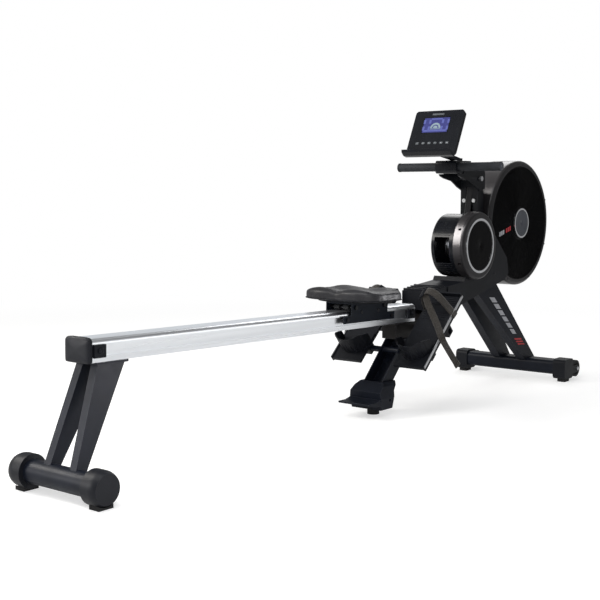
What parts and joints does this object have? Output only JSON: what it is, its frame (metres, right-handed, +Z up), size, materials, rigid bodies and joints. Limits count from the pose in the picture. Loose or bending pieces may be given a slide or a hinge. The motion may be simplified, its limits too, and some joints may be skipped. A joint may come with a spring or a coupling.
{
  "type": "rowing machine",
  "caption": "Air rowing machine: seat rolling on a sloping rail, strapped footplates, strap-driven caged fan, spring-returned pull handle and a tilting console on a mast.",
  "frame": {"origin": "on the floor, at the middle of the overall length and width", "axes": "+X from the rear foot towards the fan, +Y to the left of a person facing the fan, +Z up"},
  "size_m": [2.447, 0.4784, 1.0049],
  "materials": {
    "frame_paint": "blue-black powder coat, fine orange peel",
    "beam_paint": "dark brown-black powder coat",
    "mast_paint": "black powder coat",
    "black_plastic": "fine moulded texture",
    "gloss_plastic": "smooth semi-gloss moulding",
    "rubber": "matt",
    "grip_foam": "dense foam, matt",
    "rail_metal": "brushed along its length, clear anodised",
    "steel": "zinc plated",
    "carriage_paint": "dark grey powder coat",
    "trim": "polished",
    "guard_wire": "black powder coat",
    "hub_cap": "dark grey satin",
    "fan_blade": "smooth",
    "roller_plastic": "smooth",
    "foot_webbing": "woven webbing",
    "pull_webbing": "woven webbing",
    "seat_skin": "moulded polyurethane skin, semi-gloss",
    "display": "blue display behind a smooth window",
    "key_white": "smooth"
  },
  "bodies": {
    "frame": {"rear_frame": "frame_paint", "rear_foot_caps": "black_plastic", "floor_pads": "rubber", "rail": "rail_metal", "rail_rear_cap": "black_plastic", "rail_stops": "black_plastic", "frame_bolts": "steel", "main_beam": "beam_paint", "centre_strut": "frame_paint", "centre_foot": "frame_paint", "front_legs": "frame_paint", "stabiliser_tube": "frame_paint", "stabiliser_caps": "black_plastic", "mast": "mast_paint", "body_cover_left": "black_plastic", "body_cover_right": "black_plastic", "neck_cover": "black_plastic", "drum_shell": "gloss_plastic", "drum_cap": "gloss_plastic", "trim_rings": "trim", "fan_housing_left": "gloss_plastic", "fan_housing_right": "gloss_plastic", "fan_guards": "guard_wire", "fan_hub_caps": "hub_cap", "fan_forks": "frame_paint", "shaft_bearings": "steel", "recoil_spring": "steel", "drive_belt": "rubber", "footplates": "black_plastic", "foot_straps": "foot_webbing", "console_arm": "frame_paint"},
    "seat": {"seat_pad": "seat_skin", "seat_base": "black_plastic", "carriage": "carriage_paint", "roller_axles": "steel"},
    "top_rollers_f": {"top_rollers_front": "roller_plastic"},
    "top_rollers_r": {"top_rollers_rear": "roller_plastic"},
    "low_rollers_f": {"low_rollers_front": "roller_plastic"},
    "low_rollers_r": {"low_rollers_rear": "roller_plastic"},
    "handle": {"handle_bar": "steel", "handle_grips": "grip_foam", "handle_hub": "gloss_plastic", "pull_strap": "pull_webbing"},
    "spool": {"spool": "steel"},
    "pulley": {"drive_pulley": "steel"},
    "fan": {"fan_rotor": "fan_blade"},
    "guide": {"guide_roller": "roller_plastic"},
    "wheel_l": {"wheel_left": "rubber"},
    "wheel_r": {"wheel_right": "rubber"},
    "heel_l": {"heel_cup_left": "black_plastic"},
    "heel_r": {"heel_cup_right": "black_plastic"},
    "console": {"console_front": "gloss_plastic", "console_back": "black_plastic", "console_display": "display"},
    "button_1": {"key_1": "key_white"},
    "button_2": {"key_2": "key_white"},
    "button_3": {"key_3": "key_white"},
    "button_4": {"key_4": "key_white"},
    "button_5": {"key_5": "key_white"},
    "button_6": {"key_6": "key_white"}
  },
  "joints": [
    {"name": "seat_slide", "type": "slide", "parent": "frame", "child": "seat", "axis": [0.9998, 0, -0.0206], "range_m": [-0.93, 0.07]},
    {"name": "top_roller_f_spin", "type": "hinge", "parent": "seat", "child": "top_rollers_f", "pos_m": [0.09062, 0, 0.36313], "axis": [0, 1, 0], "range_deg": [-5180, 395]},
    {"name": "low_roller_f_spin", "type": "hinge", "parent": "seat", "child": "low_rollers_f", "pos_m": [0.13186, 0, 0.32617], "axis": [0, 1, 0], "range_deg": [-415, 5445]},
    {"name": "top_roller_r_spin", "type": "hinge", "parent": "seat", "child": "top_rollers_r", "pos_m": [-0.06535, 0, 0.36634], "axis": [0, 1, 0], "range_deg": [-5180, 395]},
    {"name": "low_roller_r_spin", "type": "hinge", "parent": "seat", "child": "low_rollers_r", "pos_m": [-0.10808, 0, 0.33112], "axis": [0, 1, 0], "range_deg": [-415, 5445]},
    {"name": "handle_pull", "type": "slide", "parent": "frame", "child": "handle", "axis": [-1, 0, 0], "range_m": [0, 1.15], "stiffness_N_per_m": 15, "springref_m": -1, "deforming": ["pull_strap"]},
    {"name": "spool_spin", "type": "hinge", "parent": "frame", "child": "spool", "pos_m": [0.6295, 0, 0.533], "axis": [0, 1, 0], "range_deg": [-1615, 5]},
    {"name": "guide_spin", "type": "hinge", "parent": "frame", "child": "guide", "pos_m": [0.7085, 0, 0.796], "axis": [0, 1, 0], "range_deg": [-4315, 5]},
    {"name": "fan_spin", "type": "hinge", "parent": "frame", "child": "fan", "pos_m": [0.9875, 0, 0.605], "axis": [0, 1, 0], "continuous": true},
    {"name": "pulley_spin", "type": "hinge", "parent": "frame", "child": "pulley", "pos_m": [0.6295, 0, 0.533], "axis": [0, 1, 0], "continuous": true},
    {"name": "wheel_l_spin", "type": "hinge", "parent": "frame", "child": "wheel_l", "pos_m": [1.1475, 0, 0.042], "axis": [0, 1, 0], "continuous": true},
    {"name": "wheel_r_spin", "type": "hinge", "parent": "frame", "child": "wheel_r", "pos_m": [1.1475, 0, 0.042], "axis": [0, 1, 0], "continuous": true},
    {"name": "heel_l_slide", "type": "slide", "parent": "frame", "child": "heel_l", "axis": [0.7361, 0, 0.6769], "range_m": [-0.025, 0.05]},
    {"name": "heel_r_slide", "type": "slide", "parent": "frame", "child": "heel_r", "axis": [0.7361, 0, 0.6769], "range_m": [-0.025, 0.05]},
    {"name": "console_tilt", "type": "hinge", "parent": "frame", "child": "console", "pos_m": [0.4665, 0, 0.86364], "axis": [0, 1, 0], "range_deg": [-10, 20]},
    {"name": "button_1_press", "type": "slide", "parent": "console", "child": "button_1", "axis": [0.9041, 0, -0.4274], "range_m": [0, 0.001], "stiffness_N_per_m": 400, "springref_m": -0.001},
    {"name": "button_2_press", "type": "slide", "parent": "console", "child": "button_2", "axis": [0.9041, 0, -0.4274], "range_m": [0, 0.001], "stiffness_N_per_m": 400, "springref_m": -0.001},
    {"name": "button_3_press", "type": "slide", "parent": "console", "child": "button_3", "axis": [0.9041, 0, -0.4274], "range_m": [0, 0.001], "stiffness_N_per_m": 400, "springref_m": -0.001},
    {"name": "button_4_press", "type": "slide", "parent": "console", "child": "button_4", "axis": [0.9041, 0, -0.4274], "range_m": [0, 0.001], "stiffness_N_per_m": 400, "springref_m": -0.001},
    {"name": "button_5_press", "type": "slide", "parent": "console", "child": "button_5", "axis": [0.9041, 0, -0.4274], "range_m": [0, 0.001], "stiffness_N_per_m": 400, "springref_m": -0.001},
    {"name": "button_6_press", "type": "slide", "parent": "console", "child": "button_6", "axis": [0.9041, 0, -0.4274], "range_m": [0, 0.001], "stiffness_N_per_m": 400, "springref_m": -0.001}
  ],
  "couplings": [
    {"joint": "top_roller_f_spin", "follows": "seat_slide", "rad_per_m": 97.087},
    {"joint": "low_roller_f_spin", "follows": "seat_slide", "rad_per_m": -102.04},
    {"joint": "top_roller_r_spin", "follows": "seat_slide", "rad_per_m": 97.087},
    {"joint": "low_roller_r_spin", "follows": "seat_slide", "rad_per_m": -102.04},
    {"joint": "spool_spin", "follows": "handle_pull", "rad_per_m": -24.39},
    {"joint": "guide_spin", "follows": "handle_pull", "rad_per_m": -65.359},
    {"joint": "pulley_spin", "follows": "fan_spin", "ratio": 0.25714}
  ]
}
